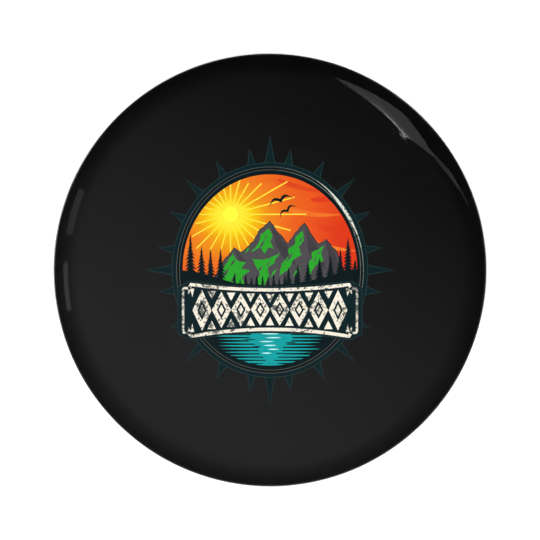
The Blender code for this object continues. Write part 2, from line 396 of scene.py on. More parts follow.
def dome_frame():
    """Heading at the dome's edge, and the (r, y) centres of the edge, crown and dome arcs."""
    spread = CROWN_RADIUS * math.sin(SPLIT_ANGLE) + EDGE_RADIUS * (1 - math.sin(SPLIT_ANGLE))
    dome_edge = (BUTTON_RADIUS - spread) / (1 - CROWN_RADIUS / DOME_RADIUS)
    angle = math.asin(dome_edge / DOME_RADIUS)
    edge = (BUTTON_RADIUS - EDGE_RADIUS, -BEAD_RADIUS)
    reach = CROWN_RADIUS - EDGE_RADIUS
    crown = (edge[0] - reach * math.sin(SPLIT_ANGLE), edge[1] + reach * math.cos(SPLIT_ANGLE))
    dome = (0.0, crown[1] + (DOME_RADIUS - CROWN_RADIUS) * math.cos(angle))
    return angle, edge, crown, dome


def dome_height(radius, inset):
    """Y of a layer's surface at a distance from the axis, on the dome."""
    return dome_frame()[3][1] - math.sqrt((DOME_RADIUS - inset) ** 2 - radius**2)


def shell_line(inset, start=0.0):
    """(r, y) line of a layer's surface from a radius out over the edge and into the curl."""
    angle, edge, crown, dome = dome_frame()
    bead = (BUTTON_RADIUS - BEAD_RADIUS, -BEAD_RADIUS)
    curl = (bead[0] - REAR_LAND, -CURL_RADIUS)
    first = math.asin(start / (DOME_RADIUS - inset))
    line = arc(dome, DOME_RADIUS - inset, first, angle, 20)
    line += arc(crown, CROWN_RADIUS - inset, angle, SPLIT_ANGLE, 16)[1:]
    line += arc(edge, EDGE_RADIUS - inset, SPLIT_ANGLE, QUARTER, 10)[1:]
    line += arc(bead, BEAD_RADIUS - inset, QUARTER, 2 * QUARTER, 12)[1:]
    line += arc(curl, CURL_RADIUS - inset, 2 * QUARTER, 3 * QUARTER, 10)
    line.append((line[-1][0], line[-1][1] - CURL_TAIL))
    return line


def ring_points(radius, y):
    angles = [TURN * i / SEGMENTS for i in range(SEGMENTS)]
    return [(radius * math.cos(a), y, radius * math.sin(a)) for a in angles]


def revolve(made, outline, closed):
    """Rings of vertices for each (r, y) point, joined by faces. A point on the axis is a single vertex."""
    rings = []
    for radius, y in outline:
        if radius < 1e-9:
            rings.append([made.verts.new((0, y, 0))] * SEGMENTS)
        else:
            rings.append([made.verts.new(p) for p in ring_points(radius, y)])
    pairs = list(zip(rings, rings[1:]))
    if closed:
        pairs.append((rings[-1], rings[0]))
    for near, far in pairs:
        for i in range(SEGMENTS):
            j = (i + 1) % SEGMENTS
            corners = list(dict.fromkeys((near[i], near[j], far[j], far[i])))
            if len(corners) > 2:
                made.faces.new(corners)
    return rings


def add_layer(name, depth, thickness, surface):
    made = bmesh.new()
    revolve(made, shell_line(depth) + shell_line(depth + thickness)[::-1], closed=True)
    return add_object(name, made, [surface])


# ---- artwork

def rounded(corners, radius, steps=5):
    """The same line with its inner corners rounded."""
    line = [corners[0]]
    for before, corner, after in zip(corners, corners[1:], corners[2:]):
        a, b, c = Vector(before), Vector(corner), Vector(after)
        back, ahead = (a - b), (c - b)
        cut = min(radius, back.length * 0.45, ahead.length * 0.45)
        start, end = b + cut * back.normalized(), b + cut * ahead.normalized()
        for i in range(steps + 1):
            t = i / steps
            line.append(tuple(start.lerp(b, t).lerp(b.lerp(end, t), t)))
    return line + [corners[-1]]


def thickened(line, thickness):
    """Closed outline of a bent strip, from its middle line."""
    left, right = [], []
    for i, point in enumerate(line):
        ahead = Vector(line[min(i + 1, len(line) - 1)]) - Vector(point)
        behind = Vector(point) - Vector(line[max(i - 1, 0)])
        heading = (ahead.normalized() + behind.normalized()).normalized()
        side = Vector((-heading.y, heading.x)) * thickness / 2
        left.append(tuple(Vector(point) + side))
        right.append(tuple(Vector(point) - side))
    return left + right[::-1]


def ellipse(size, steps=160, centre=(0, 0)):
    angles = [TURN * i / steps for i in range(steps)]
    return [(centre[0] + size[0] * math.cos(a), centre[1] + size[1] * math.sin(a)) for a in angles]


def inside_sky(u, v):
    return (u / SKY[0]) ** 2 + (v / SKY[1]) ** 2 < 1


def spikes(shapes):
    """Compass points round the ring: long ones on the axes, and short ones that crowd towards the axes."""
    count = 24
    long, middle, short = 3.4, 2.8, 1.95
    crowding = {1: -4, 2: -1.5, 4: 1.5, 5: 4}
    for rim, name in ((0.11, "spike_edge"), (0.0, "teal")):
        for i in range(count):
            crowd = math.radians(crowding.get(i % 6, 0))
            a = TURN * i / count + crowd
            outward = Vector((math.cos(a + crowd), math.sin(a + crowd)))
            along = Vector((-outward.y, outward.x))
            foot = Vector((RING[0] * math.cos(a), RING[1] * math.sin(a)))
            length = long if i % 6 == 0 else middle if i % 3 == 0 else short
            half = 0.7 if i % 6 == 0 else 0.5
            tip = foot + (length + 2.5 * rim) * outward
            waist = foot + 0.45 * outward
            root = foot - 0.6 * outward
            corners = [root - (half * 1.4 + rim) * along, waist - (half * 0.66 + rim) * along, tip]
            corners += [waist + (half * 0.66 + rim) * along, root + (half * 1.4 + rim) * along]
            shapes.append(([tuple(c) for c in corners], name, False))


def crescent(start, end, depth, thick):
    """Sliver inside the ring's rim from one angle to another, widest in its middle."""
    steps = 40
    thinnest = 0.03
    angles = [math.radians(start + (end - start) * i / steps) for i in range(steps + 1)]
    swell = [math.sin(math.pi * i / steps) ** 2 for i in range(steps + 1)]
    outer = [(a, -depth) for a in angles]
    inner = [(a, -depth - thinnest - thick * w) for a, w in zip(angles, swell)]
    return [((RING[0] + r) * math.cos(a), (RING[1] + r) * math.sin(a)) for a, r in outer + inner[::-1]]


def ring(shapes):
    """The dark band round the picture, with two hairlines and the glints along them."""
    bands = [(0.09, "spike_edge"), (0.0, "teal"), (-0.46, "hairline"), (-0.54, "deep"), (-0.84, "hairline")]
    bands += [(-0.92, "deep_teal")]
    for step, name in bands:
        shapes.append((ellipse((RING[0] + step, RING[1] + step)), name, False))
    glints = [(-24, 80, 0.47, 0.10, "glint_dull"), (-12, 84, 0.84, 0.05, "glint_dull")]
    glints += [(12, 60, 0.5, 0.34, "glint")]
    for start, end, depth, thick, name in glints:
        shapes.append((crescent(start, end, depth, thick), name, False))
    shapes.append((ellipse(SKY), "sky", False))


def clouds(shapes):
    """Long thin washes, most of them at the right of the sky."""
    # Middle, half length and half thickness in millimetres, and tilt in degrees
    bands = [(8.2, 9.3, 3.0, 0.34, 10, "wash_red"), (5.6, 7.2, 3.6, 0.3, -6, "wash_orange")]
    bands += [(8.6, 5.1, 2.6, 0.42, -9, "wash_red"), (4.2, 10.6, 3.4, 0.3, -13, "wash_red")]
    bands += [(7.6, 3.0, 3.8, 0.26, -14, "wash_orange"), (-6.4, 11.2, 2.6, 0.3, 34, "wash_orange")]
    for u, v, half, thick, tilt, name in bands:
        turn = Matrix.Rotation(math.radians(tilt), 2)
        outline = []
        for x, y in ellipse((half, thick), 30):
            bent = Vector((x, y * (1 - 0.5 * x / half) + 0.10 * (x * x / half)))
            outline.append(tuple(turn @ bent + Vector((u, v))))
        shapes.append((outline, name, True))


def rays(shapes):
    """Thin beams round the sun, the longest ones towards the right."""
    count = 24
    extra = {0: 5.2, 1: 3.2, 2: 2.2, 23: 1.8}
    middle = Vector(SUN)
    for i in range(count):
        a = TURN * i / count
        length = 4.6 + 1.7 * math.sin(2.4 * i) ** 2 + extra.get(i, 0.0)
        out = Vector((math.cos(a), math.sin(a)))
        side = Vector((-out.y, out.x))
        tip = middle + length * out
        corners = [middle - 0.1 * side, tip - 0.08 * side, tip + 0.08 * side, middle + 0.1 * side]
        shapes.append(([tuple(c) for c in corners], "ray", True))
    shapes.append((ellipse((1.0, 1.0), 40, SUN), "sun", True))


def gulls(shapes):
    """Two plain gulls, each a bent stroke that is thick in the middle."""
    steps = 16
    for u, v, half_span, tilt in ((1.4, 8.9, 1.7, 20), (2.3, 7.6, 1.35, 34)):
        turn = Matrix.Rotation(math.radians(tilt), 2)
        top, under = [], []
        for k in range(steps + 1):
            t = -1 + 2 * k / steps
            lift = 0.34 * abs(math.sin(math.pi * t)) - 0.18 * abs(t)
            thick = 0.19 * (1 - abs(t)) ** 0.7
            top.append(Vector((t, lift + thick)) * half_span)
            under.append(Vector((t, lift - thick * 0.6)) * half_span)
        outline = [tuple(turn @ dot + Vector((u, v))) for dot in top + under[-2:0:-1]]
        shapes.append((outline, "pine", True))


def ragged(corners, jitter, chance):
    """A closed outline with points pushed to either side along each of its edges."""
    spacing = 0.42
    outline = []
    for first, last in zip(corners, corners[1:] + corners[:1]):
        start, end = Vector(first), Vector(last)
        steps = max(1, round((end - start).length / spacing))
        side = Vector(((start - end).y, (end - start).x)).normalized()
        outline.append(first)
        for i in range(1, steps):
            push = jitter * chance.uniform(-1, 1)
            outline.append(tuple(start.lerp(end, i / steps) + push * side))
    return outline


def mountains(shapes, chance):
    """A range with four peaks: bare rock, shaded on the right of each peak."""
    crest = [(-8.1, MOUNTAIN_FOOT), (-6.2, 0.7), (-4.6, 2.8), (-3.7, 2.2), (-2.1, 3.6), (-1.5, 4.9)]
    crest += [(0.0, 6.3), (1.2, 4.6), (2.3, 3.3), (3.2, 4.7), (4.4, 6.0), (5.4, 4.4), (6.2, 3.3)]
    crest += [(7.2, 3.9), (8.6, 2.2), (10.6, MOUNTAIN_FOOT)]
    outline = ragged(crest, 0.07, chance)
    lifted = [(u * 1.012, v + 0.13) for u, v in outline]
    shapes.append((lifted, "outline", True))
    shapes.append((outline, "rock", True))
    shades = [[(0.0, 6.0), (1.1, 4.5), (2.2, 3.1), (3.4, 0.6), (1.8, 1.4), (0.9, 3.0), (0.5, 4.4)]]
    shades += [[(4.4, 5.7), (5.3, 4.3), (6.1, 3.1), (7.4, 0.0), (5.9, 0.8), (4.9, 2.6), (4.8, 4.2)]]
    shades += [[(7.2, 3.7), (8.4, 2.1), (10.0, MOUNTAIN_FOOT), (8.2, MOUNTAIN_FOOT), (7.6, 1.0), (7.5, 2.4)]]
    shades += [[(-4.6, 2.6), (-3.8, 2.0), (-3.0, 0.9), (-3.9, 1.2)]]
    for corners in shades:
        shapes.append((ragged(corners, 0.06, chance), "rock_shade", True))


def meadows(shapes, chance):
    """Ragged green patches down the slopes."""
    left = [(-4.8, 2.2), (-4.2, 1.2), (-3.1, 1.0), (-3.7, 0.2), (-2.5, -0.1), (-3.6, -0.8)]
    left += [(-2.8, MOUNTAIN_FOOT), (-7.5, MOUNTAIN_FOOT), (-6.0, 0.2)]
    summit = [(-0.2, 5.4), (0.3, 4.5), (0.0, 3.6), (0.6, 2.7), (-0.2, 2.9), (-0.7, 2.1), (-1.2, 2.9)]
    summit += [(-2.5, 2.3), (-1.5, 3.4), (-1.2, 4.6)]
    middle = [(-2.3, 1.5), (-0.9, 1.3), (0.9, 1.9), (0.5, 0.8), (-0.3, 0.3), (-0.1, -0.7)]
    middle += [(-1.4, MOUNTAIN_FOOT), (-2.2, MOUNTAIN_FOOT), (-1.3, -0.5), (-1.8, 0.4)]
    second = [(4.2, 5.1), (4.4, 3.8), (3.7, 3.0), (4.1, 2.0), (2.9, 1.2), (2.3, 0.0), (1.2, -0.8)]
    second += [(1.5, 0.8), (2.5, 1.9), (2.3, 2.6), (3.3, 3.5), (3.3, 4.3)]
    third = [(7.0, 3.1), (6.6, 2.1), (6.9, 1.2), (5.8, 0.5), (5.0, -0.6), (4.8, 0.7), (5.5, 1.5), (5.4, 2.3)]
    for corners in (summit, left, middle, second, third):
        shapes.append((ragged(corners, 0.09, chance), "meadow", True))


def blades(shapes):
    """Leaning slivers that break up the slopes: top point, length and ink of each."""
    slivers = [(-5.2, 0.3, 1.5, "rock"), (-4.2, -0.4, 1.3, "rock"), (-0.6, 3.9, 1.2, "rock")]
    slivers += [(-0.9, 0.6, 1.0, "rock"), (3.0, 2.3, 1.3, "rock"), (6.1, 1.7, 0.8, "rock")]
    slivers += [(0.9, 0.2, 1.2, "meadow"), (3.9, 0.4, 1.3, "meadow"), (1.3, 2.3, 0.9, "meadow")]
    slivers += [(-4.4, 1.5, 1.1, "rock"), (-6.0, -0.6, 1.0, "rock"), (-1.4, 2.0, 0.8, "rock")]
    slivers += [(4.3, 4.3, 0.8, "rock"), (6.6, 2.6, 0.7, "rock"), (0.1, 1.2, 0.8, "rock")]
    slivers += [(-2.6, 3.0, 0.9, "meadow"), (5.4, -0.2, 1.1, "meadow"), (-0.3, 4.6, 0.7, "rock")]
    for u, v, length, name in slivers:
        blade = [(u, v), (u - 0.42 * length, v - 0.35 * length), (u - 0.75 * length, v - length)]
        blade += [(u - 0.3 * length, v - 0.62 * length)]
        shapes.append((blade, name, True))


def pine(shapes, u, tip, height, half, seed):
    """A tree with drooping boughs, widest at its foot."""
    chance = random.Random(seed)
    bough_height, trunk = 0.5, 0.1
    tiers = max(4, round(height / bough_height))
    sides = []
    for side in (1, -1):
        edge = []
        for k in range(tiers):
            share = (k + 1) / tiers
            level = tip - height * (0.1 + 0.88 * share) + 0.06 * side
            wide = half * share**0.75 * chance.uniform(0.8, 1.2)
            edge += [(u + side * wide, level - 0.12), (u + side * wide * 0.34, level + 0.03)]
        sides.append(edge)
    foot = tip - height - 0.4
    outline = [(u, tip)] + sides[0] + [(u + trunk, foot), (u - trunk, foot)] + sides[1][::-1]
    shapes.append((outline, "pine", True))


def woods(shapes):
    """Dark ground, with tall pines at both sides and small ones along the foot of the mountains."""
    ground = [(-SKY[0] - 1, -14), (SKY[0] + 1, -14), (SKY[0] + 1, 0.3), (9.6, -0.1), (7.0, -1.0), (3.4, -1.7)]
    ground += [(0.0, -2.0), (-4.6, -1.7), (-6.8, -1.0), (-9.3, -0.3), (-SKY[0] - 1, 0.1)]
    shapes.append((ground, "pine", True))
    # Place, height of the tip, height and half width of each tall pine
    tall = [(-10.3, 4.7, 5.6, 0.95), (-8.85, 3.1, 4.2, 0.8), (-7.7, 2.8, 4.1, 0.75), (-6.4, 2.9, 4.5, 0.8)]
    tall += [(10.1, 4.2, 5.0, 1.05), (9.1, 2.8, 3.9, 0.78), (11.0, 1.4, 2.6, 0.8), (7.8, 1.9, 3.3, 0.8)]
    tall += [(6.4, 1.6, 3.2, 0.78), (4.9, 1.2, 3.0, 0.72), (3.6, 0.7, 2.6, 0.6), (2.4, 0.4, 2.4, 0.55)]
    for n, (u, tip, height, half) in enumerate(tall):
        pine(shapes, u, tip, height, half, 40 + n)
    for n in range(13):
        u = -5.3 + 0.72 * n
        pine(shapes, u, -1.3 + 1.0 * abs(math.sin(1.7 * n)), 2.0, 0.42, 70 + n)


def lens(u, v, half, thick):
    """A stroke that tapers to both ends."""
    steps = 10
    shares = [i / steps for i in range(steps + 1)]
    top = [(u - half + 2 * half * s, v + thick * math.sin(math.pi * s) ** 0.7) for s in shares]
    return top + [(x, 2 * v - y) for x, y in top[-2:0:-1]]


def lake(shapes):
    """Strokes of water that narrow towards the bottom, with bright glints down the middle."""
    chance = random.Random(7)
    middle = [(-3.4, -7.4), (3.4, -7.4), (2.6, -8.2), (3.0, -9.0), (1.7, -9.9), (1.5, -10.9), (0.6, -11.7)]
    middle += [(1.1, -12.2), (-1.0, -12.2), (-0.5, -11.6), (-1.5, -10.7), (-1.4, -9.9), (-2.9, -9.1)]
    middle += [(-2.4, -8.3)]
    shapes.append((middle, "water", True))
    for row in range(11):
        v = -7.7 - 0.42 * row
        narrow = math.sqrt(max(0.05, 1 - ((v + 7.6) / 5.1) ** 2))
        half = 8.7 * narrow * chance.uniform(0.8, 1.0)
        shapes.append((lens(chance.uniform(-0.4, 0.4), v, half, 0.15), "water", True))
    shapes.append((lens(0.0, -12.3, 2.5, 0.2), "water", True))
    ripples = [(-2.6, -9.0, 0.8), (2.7, -9.4, 0.9), (-1.7, -9.9, 0.6), (2.1, -8.2, 0.8), (1.2, -10.8, 0.5)]
    for u, v, half in ripples:
        shapes.append((lens(u, v, half, 0.07), "pine", True))
    for row in range(6):
        v = -8.25 - 0.5 * row
        shapes.append((lens(0.5 * math.sin(2.1 * row), v, 1.15 - 0.1 * row, 0.08), "streak", True))


def bow(u, level, bend):
    """Height of a banner edge, which bends towards the banner's middle."""
    return level - bend * (1 - (u / BANNER_HALF) ** 2)


def border(half, level, bend, hook):
    """Path of a banner edge, with both ends hooked round towards the banner's middle."""
    steps = 28
    us = [-half + 2 * half * i / steps for i in range(steps + 1)]
    path = [(u, bow(u, level, bend)) for u in us]
    first = (-half - 0.22, path[0][1] + hook)
    last = (half + 0.22, path[-1][1] + hook)
    return [first] + path + [last]


def ornament(shapes):
    """A row of lozenges along the banner, with small triangles between them at both borders."""
    count = 8
    reach = BANNER_HALF - 0.35
    pitch = 2 * reach / count
    inset = 0.52
    for i in range(count):
        u = -reach + pitch * (i + 0.5)
        low = bow(u, BANNER_FOOT, -BANNER_LIFT) + 0.5
        high = bow(u, BANNER_TOP, BANNER_SAG) - 0.5
        middle = (low + high) / 2
        half = (high - low) / 2
        for share, name in ((1.0, "cream"), (0.5, "teal"), (0.28, "cream")):
            w, h = pitch * 0.49 * share, half * share
            lozenge = [(u, middle + h), (u + w, middle), (u, middle - h), (u - w, middle)]
            shapes.append((lozenge, name, False))
    for i in range(count + 1):
        u = -reach + pitch * i
        for level, bend, way in ((BANNER_TOP, BANNER_SAG, -1), (BANNER_FOOT, -BANNER_LIFT, 1)):
            edge = bow(u, level, bend) + way * inset
            cut = 0.55 if 0 < i < count else 0.25
            shapes.append(([(u - cut, edge), (u + cut, edge), (u, edge + way * 1.1)], "cream", False))


def panel_outline():
    """The ribbon: a little taller than its borders, with its corners cut off."""
    wide = BANNER_HALF + 1.45
    margin, slope = 0.42, 0.75
    steps = 36
    top, foot = [], []
    for i in range(steps + 1):
        u = -wide + 2 * wide * i / steps
        cut = slope * max(0, abs(u) - BANNER_HALF)
        top.append((u, bow(u, BANNER_TOP, BANNER_SAG) + margin - cut))
        foot.append((u, bow(u, BANNER_FOOT, -BANNER_LIFT) - margin + cut))
    return top + foot[::-1]


def banner(shapes):
    """Dark ribbon with worn borders, side brackets and an ornament along it."""
    panel = panel_outline()
    rim = [(u * 1.008, v + math.copysign(0.07, v - BANNER_MIDDLE)) for u, v in panel]
    shapes.append((rim, "spike_edge", False))
    shapes.append((panel, "teal", False))
    top = border(BANNER_HALF - 0.2, BANNER_TOP, BANNER_SAG, -0.34)
    foot = border(BANNER_HALF - 0.2, BANNER_FOOT, -BANNER_LIFT, 0.34)
    shapes.append((thickened(top, 0.44), "cream", False))
    shapes.append((thickened(foot, 0.44), "cream", False))
    for side in (-1, 1):
        inner, outer = side * 10.6, side * 11.25
        bracket = [(inner, -2.35), (outer, -2.35), (outer, -8.15), (inner, -8.15)]
        shapes.append((thickened(rounded(bracket, 0.6), 0.3), "cream_thin", False))
        for v in (-2.85, -7.65):
            notch = math.copysign(0.3, v - BANNER_MIDDLE)
            corner = [(side * 10.1, v + notch), (inner, v + notch), (inner, v - notch)]
            shapes.append((corner, "cream_thin", False))
    ornament(shapes)


def artwork_shapes():
    """Shapes from back to front: (outline, ink, whether the sky's edge trims it)."""
    shapes = []
    chance = random.Random(5)
    spikes(shapes)
    ring(shapes)
    clouds(shapes)
    rays(shapes)
    gulls(shapes)
    mountains(shapes, chance)
    meadows(shapes, chance)
    blades(shapes)
    woods(shapes)
    lake(shapes)
    banner(shapes)
    return shapes


def counter_clockwise(outline):
    following = outline[1:] + outline[:1]
    area = sum(a[0] * b[1] - b[0] * a[1] for a, b in zip(outline, following))
    return outline if area > 0 else outline[::-1]


def lattice():
    """Loose points that make the artwork's faces follow the dome between the outlines."""
    points = []
    for i in range(1, LATTICE_RINGS):
        radius = ART_RADIUS / MM * i / LATTICE_RINGS
        count = 6 * i
        angles = [TURN * (k + 0.37) / count for k in range(count)]
        points += [(radius * math.cos(a), radius * math.sin(a)) for a in angles]
    return points


def uppermost(shapes, owner, u, v):
    """Ink of the front shape at a place. Owner 0 is the whole disc."""
    top = "ground"
    for n in sorted(owner):
        if n > 0 and (not shapes[n - 1][2] or inside_sky(u, v)):
            top = shapes[n - 1][1]
    return top


def artwork(made, boundary, inks, inset):
    """Fills the disc inside a ring of vertices with one sheet of faces, cut along every shape's edge."""
    shapes = artwork_shapes()
    points = [(v.co.x / MM, v.co.z / MM) for v in boundary]
    faces = [list(range(len(points)))]
    for outline, _, _ in shapes:
        faces.append(list(range(len(points), len(points) + len(outline))))
        points += counter_clockwise(outline)
    coords = [Vector(p) for p in points + lattice()]
    flat, _, cells, sources, _, owners = delaunay_2d_cdt(coords, [], faces, 1, 1e-4)
    corners = []
    for dot, origin in zip(flat, sources):
        rim = [k for k in origin if k < len(boundary)]
        if rim:
            corners.append(boundary[rim[0]])
            continue
        x, z = dot.x * MM, dot.y * MM
        corners.append(made.verts.new((x, dome_height(math.hypot(x, z), inset), z)))
    for cell, owner in zip(cells, owners):
        u = sum(flat[k].x for k in cell) / len(cell)
        v = sum(flat[k].y for k in cell) / len(cell)
        face = made.faces.new([corners[k] for k in cell])
        face.material_index = inks.index(uppermost(shapes, owner, u, v))


def add_printed_sheet(materials):
    inset = FILM + LAYER_GAP
    made = bmesh.new()
    outline = shell_line(inset, ART_RADIUS) + shell_line(inset + PAPER)[::-1]
    rings = revolve(made, outline, closed=False)
    inks = list(materials)
    plain = inks.index("ground")
    for face in made.faces:
        face.material_index = plain
    artwork(made, rings[0], inks, inset)
    return add_object("printed_sheet_art", made, list(materials.values()))


# ---- back plate and pin

def prism(outline, length):
    """A bar along X, centred on 0, from its (z, y) outline."""
    made = bmesh.new()
    ends = []
    for x in (-length / 2, length / 2):
        ends.append([made.verts.new((x, y, z)) for z, y in outline])
        made.faces.new(ends[-1])
    for i in range(len(outline)):
        j = (i + 1) % len(outline)
        made.faces.new((ends[0][i], ends[0][j], ends[1][j], ends[1][i]))
    return made


def placed(body, x, z, slope):
    body.transform(Matrix.Translation((x, 0, z)) @ Matrix.Rotation(-slope, 4, "Y"))
    return body


def leg_point(distance):
    start_x = COIL_X + COIL_RADIUS * math.cos(COIL_START)
    start_z = COIL_Z + COIL_RADIUS * math.sin(COIL_START)
    return start_x + distance * math.cos(LEG_SLOPE), start_z + distance * math.sin(LEG_SLOPE)


def plate_outline():
    """Closed (r, y) outline of the plate, with its rounded rib and its flange."""
    rib_in = RIB_RADIUS - RIB_WIDTH / 2
    rib_out = RIB_RADIUS + RIB_WIDTH / 2
    slope = 0.25 * RIB_WIDTH
    run_out = 0.8 * MM
    rib_y = PLATE_Y - RIB_DEPTH
    bends = [(rib_in - run_out, PLATE_Y), (rib_in, PLATE_Y), (rib_in + slope, rib_y)]
    bends += [(rib_out - slope, rib_y), (rib_out, PLATE_Y), (rib_out + run_out, PLATE_Y)]
    rib = rounded(bends, 0.45 * MM, 6)
    bend_centre = (FLANGE_RADIUS - FLANGE_BEND, PLATE_Y - FLANGE_BEND)
    rear = [(0.0, PLATE_Y), (PLATE_PAD, PLATE_Y)] + rib
    rear += [(FLANGE_RADIUS - FLANGE_BEND, PLATE_Y)]
    rear += arc(bend_centre, FLANGE_BEND, 2 * QUARTER, QUARTER, 6)[1:]
    rear += [(FLANGE_RADIUS, FLANGE_FRONT_Y)]
    front = [(FLANGE_RADIUS - PLATE, FLANGE_FRONT_Y), (FLANGE_RADIUS - PLATE, PLATE_Y - PLATE)]
    front += [(r, y - PLATE) for r, y in rib[::-1]]
    return rear + front + [(0.0, PLATE_Y - PLATE)]


def strap_outline():
    roof = LEG_Y + WIRE_RADIUS + WIRE_GAP + STRIP / 2
    foot = PLATE_Y - PLATE / 2
    line = [(-STRAP_HALF, foot), (-STRAP_HALF, roof), (STRAP_HALF, roof), (STRAP_HALF, foot)]
    return thickened(rounded(line, STRIP_BEND), STRIP)


def catch_outline():
    roof = NEEDLE_Y + WIRE_RADIUS + WIRE_GAP + STRIP / 2
    lip = (CATCH_ROOF + CATCH_LIP - STRIP / 4, roof + CATCH_LIP_RISE)
    line = [(CATCH_ROOT, PLATE_Y - PLATE / 2), (CATCH_ROOT, roof), (CATCH_ROOF, roof), lip]
    return thickened(rounded(line, STRIP_BEND), STRIP)


def cutter(x_size, z_from, z_to):
    """A block that goes right through the plate."""
    reach = 3 * PLATE
    front, rear = PLATE_Y - reach, PLATE_Y + reach
    return prism([(z_from, front), (z_to, front), (z_to, rear), (z_from, rear)], x_size)


def lanced_parts():
    """The windows cut in the plate, and the straps and the catch that are bent out of them."""
    parts = []
    for distance in STRAP_AT:
        x, z = leg_point(distance)
        window = cutter(STRAP_LENGTH + 2 * SLIT, -STRAP_HALF, STRAP_HALF)
        parts.append((placed(window, x, z, LEG_SLOPE), "DIFFERENCE"))
        parts.append((placed(prism(strap_outline(), STRAP_LENGTH), x, z, LEG_SLOPE), "UNION"))
    window = cutter(CATCH_WIDTH + 2 * SLIT, CATCH_ROOT, CATCH_ROOT + TONGUE)
    parts.append((placed(window, CATCH_X, NEEDLE_Z, 0), "DIFFERENCE"))
    parts.append((placed(prism(catch_outline(), CATCH_WIDTH), CATCH_X, NEEDLE_Z, 0), "UNION"))
    return parts


def add_back_plate(surface):
    made = bmesh.new()
    revolve(made, plate_outline(), closed=True)
    plate = add_object("back_plate_fine", made, [surface])
    others = []
    for number, (body, operation) in enumerate(lanced_parts()):
        other = add_object(f"lanced_{number}", body, [surface])
        change = plate.modifiers.new(f"lance_{number}", "BOOLEAN")
        change.operation = operation
        change.solver = "EXACT"
        change.object = other
        others.append(other)
    edge = plate.modifiers.new("edges", "BEVEL")
    edge.width = EDGE_BEVEL
    edge.segments = 2
    edge.limit_method = "ANGLE"
    edge.angle_limit = math.radians(50)
    fix_shape(plate)
    for other in others:
        bpy.data.objects.remove(other, do_unlink=True)
    return plate


def fix_shape(obj):
    """Replaces the mesh by what its modifiers make of it, welded, with its flat faces shaded flat."""
    bpy.context.view_layer.update()
    graph = bpy.context.evaluated_depsgraph_get()
    mesh = bpy.data.meshes.new_from_object(obj.evaluated_get(graph))
    made = bmesh.new()
    made.from_mesh(mesh)
    bmesh.ops.remove_doubles(made, verts=made.verts, dist=WELD)
    bmesh.ops.dissolve_degenerate(made, edges=made.edges, dist=WELD)
    made.to_mesh(mesh)
    made.free()
    obj.modifiers.clear()
    obj.data = mesh
    mesh.shade_smooth()
    mesh.set_sharp_from_angle(angle=SHARP_ANGLE)
    for face in mesh.polygons:
        face.use_smooth = abs(face.normal.y) < FLAT_FACING


def coil_points(step):
    steps = math.ceil((COIL_END - COIL_START) / step)
    points = []
    for i in range(steps + 1):
        angle = COIL_START + (COIL_END - COIL_START) * i / steps
        y = LEG_Y + (NEEDLE_Y - LEG_Y) * i / steps
        points.append((COIL_X + COIL_RADIUS * math.cos(angle), y, COIL_Z + COIL_RADIUS * math.sin(angle)))
    return points


def leg_points():
    bend_x, bend_z = leg_point(LEG_LENGTH)
    along = Vector((math.cos(LEG_SLOPE), 0, math.sin(LEG_SLOPE)))
    down = Vector((math.sin(LEG_SLOPE), 0, -math.cos(LEG_SLOPE)))
    centre = Vector((bend_x, LEG_Y, bend_z)) - TOE_BEND * along + TOE_BEND * down
    toe = centre + TOE_BEND * along + TOE_LENGTH * down
    points = [toe, toe - 0.1 * MM * down]
    steps = 12
    for i in range(steps + 1):
        turn = QUARTER * i / steps
        points.append(centre + TOE_BEND * (math.cos(turn) * along - math.sin(turn) * down))
    start_x, start_z = leg_point(0)
    start = Vector((start_x, LEG_Y, start_z))
    bend_end = points[-1]
    return points + [bend_end.lerp(start, i / steps) for i in range(1, steps + 1)]


def wire(points, radii, ends=(None, None)):
    """A round wire through the points. ends are its end rings' headings, where they aren't the line's."""
    made = bmesh.new()
    path = [Vector(p) for p in points]
    turns = [TURN * k / WIRE_SIDES for k in range(WIRE_SIDES)]
    rings = []
    side = Vector((0, 1, 0))
    for i, point in enumerate(path):
        ahead = path[min(i + 1, len(path) - 1)] - point
        behind = point - path[max(i - 1, 0)]
        heading = (ahead.normalized() + behind.normalized()).normalized()
        if i == 0 and ends[0]:
            heading = Vector(ends[0])
        if i == len(path) - 1 and ends[1]:
            heading = Vector(ends[1])
        side = (side - heading * side.dot(heading)).normalized()
        other = heading.cross(side)
        spokes = [math.cos(t) * side + math.sin(t) * other for t in turns]
        rings.append([made.verts.new(point + radii[i] * spoke) for spoke in spokes])
    for first, second in zip(rings, rings[1:]):
        for k in range(WIRE_SIDES):
            n = (k + 1) % WIRE_SIDES
            made.faces.new((first[k], first[n], second[n], second[k]))
    made.faces.new(rings[0])
    made.faces.new(rings[-1])
    return made


def add_pin(surface):
    """The fixed leg, the whole coil and the needle, whose ends meet."""
    toward = (-math.cos(LEG_SLOPE), 0, -math.sin(LEG_SLOPE))
    leg_path = leg_points()
    radii = [WIRE_RADIUS * 0.8] + [WIRE_RADIUS] * (len(leg_path) - 1)
    leg = add_object("pin_fixed_leg", wire(leg_path, radii, (None, toward)), [surface])
    coil_path = coil_points(math.radians(5))
    coil_wire = wire(coil_path, [WIRE_RADIUS] * len(coil_path), (toward, (1, 0, 0)))
    coil = add_object("pin_coil", coil_wire, [surface])
    shaft_end = NEEDLE_TIP_X - POINT_LENGTH
    steps = 16
    xs = [COIL_X + (shaft_end - COIL_X) * i / steps for i in range(steps + 1)]
    radii = [WIRE_RADIUS] * (steps + 1)
    for share, radius in ((0.2, 0.96), (0.45, 0.76), (0.7, 0.48), (0.88, 0.26), (0.97, 0.13), (1.0, 0.05)):
        xs.append(shaft_end + POINT_LENGTH * share)
        radii.append(WIRE_RADIUS * radius)
    path = [(x, NEEDLE_Y, NEEDLE_Z) for x in xs]
    shaft = add_object("pin_needle_shaft", wire(path, radii), [surface])
    return leg, coil, shaft


# ---- studio

